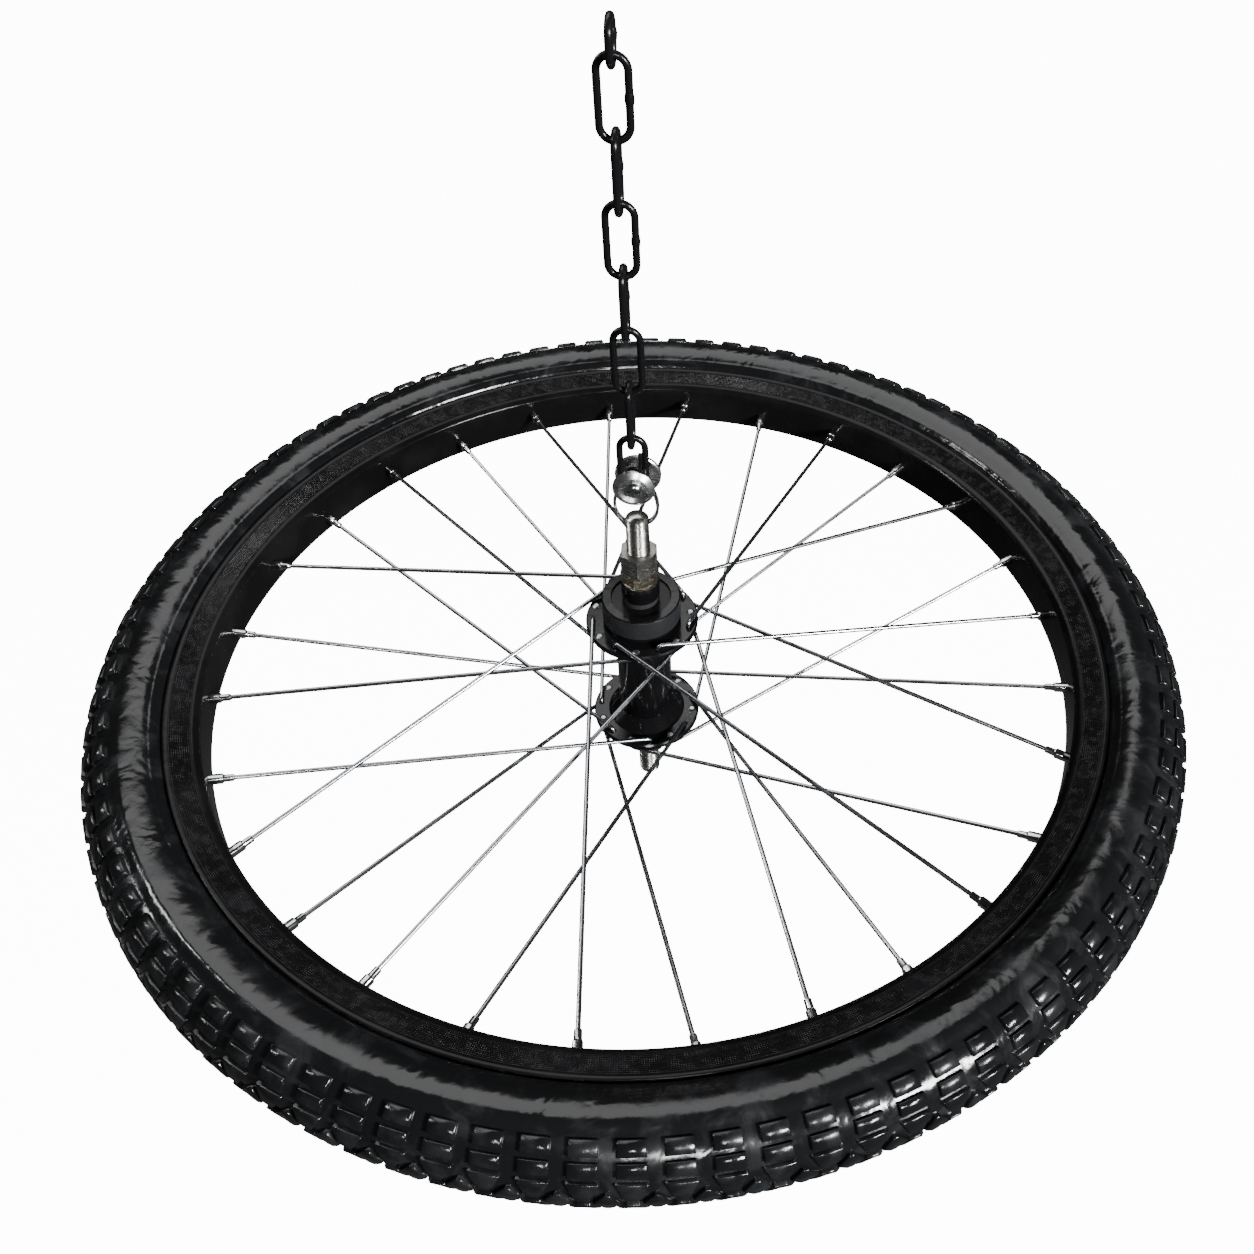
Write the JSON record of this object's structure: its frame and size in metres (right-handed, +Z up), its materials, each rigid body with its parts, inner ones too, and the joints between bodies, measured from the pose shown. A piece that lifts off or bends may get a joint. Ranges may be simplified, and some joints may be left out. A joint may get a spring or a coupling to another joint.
{
  "type": "tire swing",
  "caption": "Bicycle wheel with its tyre hung flat from a short welded chain by its axle, free to swing, tilt and spin.",
  "frame": {"origin": "the hanging point, at the inner top of the end link", "axes": "+Z up along the hanging chain; X along the cross hole in the axle; Y along the connector bolt, its domed head towards -Y"},
  "size_m": [0.4908, 0.4908, 0.3733],
  "materials": {
    "chain_paint": "gloss black paint over welded steel wire",
    "zinc_plate": "zinc plate, slightly dulled",
    "black_oxide": "black oxide",
    "ring_steel": "bright nickel plate",
    "axle_steel": "machined steel thread",
    "nut_steel": "bright machined steel",
    "passivated_zinc": "yellowish passivated zinc",
    "gloss_black": "gloss black",
    "hub_paint": "gloss black enamel",
    "bearing_steel": "ground bearing steel",
    "cage_steel": "pressed sheet steel",
    "spoke_steel": "drawn stainless wire",
    "nipple_plate": "nickel-plated brass",
    "rim_paint": "gloss black with a fine knurled side",
    "tape_rubber": "soft rubber",
    "tyre_rubber": "glossy scuffed black rubber",
    "bead_steel": "bronze-coated wire"
  },
  "bodies": {
    "end_link": {"end_link": "chain_paint"},
    "link_1": {"chain_link_1": "chain_paint"},
    "link_2": {"chain_link_2": "chain_paint"},
    "link_3": {"chain_link_3": "chain_paint"},
    "link_4": {"chain_link_4": "chain_paint"},
    "link_5": {"chain_link_5": "chain_paint"},
    "link_6": {"chain_link_6": "chain_paint"},
    "link_7": {"chain_link_7": "chain_paint"},
    "connector": {"connector_bolt": "zinc_plate", "front_cup_washer": "zinc_plate", "tab_washer": "black_oxide", "rear_disc": "zinc_plate", "connector_nut": "zinc_plate"},
    "ring": {"split_ring": "ring_steel"},
    "axle_set": {"axle": "axle_steel", "tall_nut": "nut_steel", "upper_locknut": "passivated_zinc", "key_washer": "nut_steel", "upper_spacer": "gloss_black", "lower_spacer": "nut_steel", "lower_locknut": "passivated_zinc", "upper_cone": "black_oxide", "lower_cone": "black_oxide"},
    "upper_ball_set": {"upper_balls": "bearing_steel", "upper_ball_cage": "cage_steel"},
    "lower_ball_set": {"lower_balls": "bearing_steel", "lower_ball_cage": "cage_steel"},
    "wheel": {"hub_shell": "hub_paint", "upper_bearing_cup": "bearing_steel", "lower_bearing_cup": "bearing_steel", "upper_dust_cap": "gloss_black", "lower_dust_cap": "gloss_black", "upper_trailing_spokes": "spoke_steel", "upper_leading_spokes": "spoke_steel", "lower_trailing_spokes": "spoke_steel", "lower_leading_spokes": "spoke_steel", "upper_nipples": "nipple_plate", "lower_nipples": "nipple_plate", "rim": "rim_paint", "rim_tape": "tape_rubber", "tyre": "tyre_rubber", "bead_wires": "bead_steel"}
  },
  "joints": [
    {"name": "link_1_swing", "type": "hinge", "parent": "end_link", "child": "link_1", "pos_m": [0, 0, -0.01275], "axis": [0, 1, 0], "range_deg": [-75, 75]},
    {"name": "link_2_swing", "type": "hinge", "parent": "link_1", "child": "link_2", "pos_m": [0, 0, -0.03725], "axis": [1, 0, 0], "range_deg": [-75, 75]},
    {"name": "link_3_swing", "type": "hinge", "parent": "link_2", "child": "link_3", "pos_m": [0, 0, -0.06175], "axis": [0, -1, 0], "range_deg": [-75, 75]},
    {"name": "link_4_swing", "type": "hinge", "parent": "link_3", "child": "link_4", "pos_m": [0, 0, -0.08625], "axis": [-1, 0, 0], "range_deg": [-75, 75]},
    {"name": "link_5_swing", "type": "hinge", "parent": "link_4", "child": "link_5", "pos_m": [0, 0, -0.11075], "axis": [0, 1, 0], "range_deg": [-75, 75]},
    {"name": "link_6_swing", "type": "hinge", "parent": "link_5", "child": "link_6", "pos_m": [0, 0, -0.13525], "axis": [1, 0, 0], "range_deg": [-75, 75]},
    {"name": "link_7_swing", "type": "hinge", "parent": "link_6", "child": "link_7", "pos_m": [0, 0, -0.15975], "axis": [0, -1, 0], "range_deg": [-75, 75]},
    {"name": "connector_swing", "type": "hinge", "parent": "link_7", "child": "connector", "pos_m": [0, 0, -0.1806], "axis": [0, 1, 0], "range_deg": [-60, 60]},
    {"name": "ring_swing", "type": "hinge", "parent": "connector", "child": "ring", "pos_m": [0, 0, -0.1806], "axis": [0, -1, 0], "range_deg": [-75, 75]},
    {"name": "axle_swing", "type": "hinge", "parent": "ring", "child": "axle_set", "pos_m": [0, 0.0031, -0.20365], "axis": [-1, 0, 0], "range_deg": [-75, 75]},
    {"name": "wheel_spin", "type": "hinge", "parent": "axle_set", "child": "wheel", "pos_m": [0, 0.0031, -0.28765], "axis": [0, 0, 1], "continuous": true},
    {"name": "upper_balls_roll", "type": "hinge", "parent": "axle_set", "child": "upper_ball_set", "pos_m": [0, 0.0031, -0.25365], "axis": [0, 0, 1], "continuous": true},
    {"name": "lower_balls_roll", "type": "hinge", "parent": "axle_set", "child": "lower_ball_set", "pos_m": [0, 0.0031, -0.32765], "axis": [0, 0, 1], "continuous": true}
  ],
  "couplings": [
    {"joint": "upper_balls_roll", "follows": "wheel_spin", "ratio": 0.6194},
    {"joint": "lower_balls_roll", "follows": "wheel_spin", "ratio": 0.6194}
  ]
}
